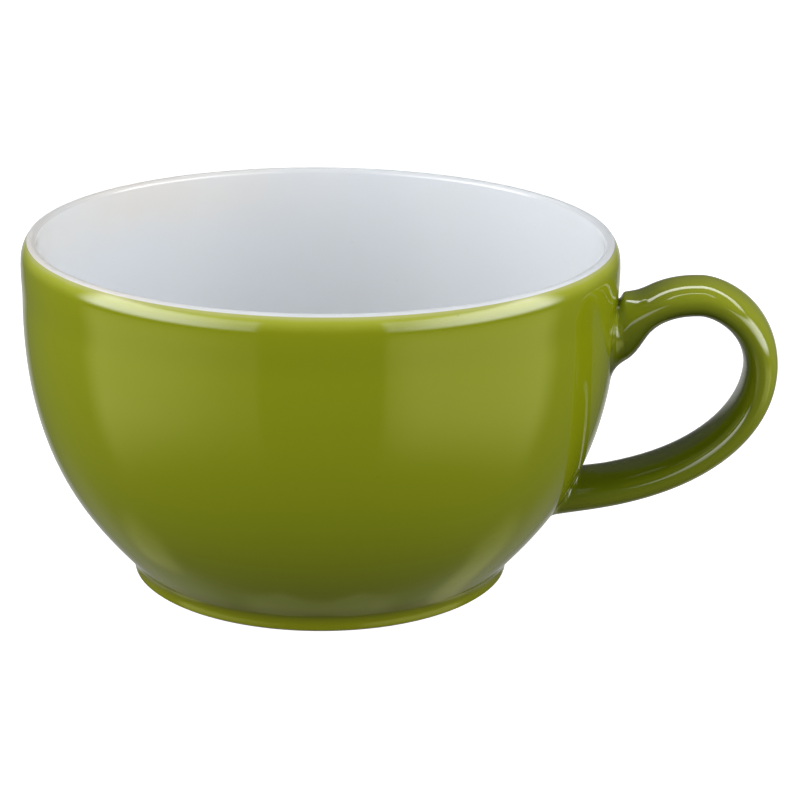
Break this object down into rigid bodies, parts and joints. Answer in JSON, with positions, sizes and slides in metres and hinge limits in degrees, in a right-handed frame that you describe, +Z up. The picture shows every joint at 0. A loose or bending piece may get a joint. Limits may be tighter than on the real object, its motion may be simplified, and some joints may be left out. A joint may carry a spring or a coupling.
{
  "type": "cappuccino cup",
  "caption": "Wide round cup with a rounded white lip and inside, a green glazed outside, a low foot ring and an ear-shaped strap handle.",
  "frame": {"origin": "on the turned axis, at the foot's resting plane", "axes": "+Z up along the turned axis, +X towards the handle"},
  "size_m": [0.1333, 0.105, 0.0614],
  "materials": {
    "clay": "bare fired clay, matte",
    "green_glaze": "glossy lime green glaze",
    "white_glaze": "glossy white glaze"
  },
  "bodies": {
    "root": {"bowl": "clay", "foot_ring": "clay", "handle": "clay", "upper_slip_joint": "clay", "lower_slip_joint": "clay", "bowl_glaze": "green_glaze", "foot_glaze": "green_glaze", "handle_glaze": "green_glaze", "liner_glaze": "white_glaze", "base_glaze": "white_glaze"}
  },
  "joints": []
}
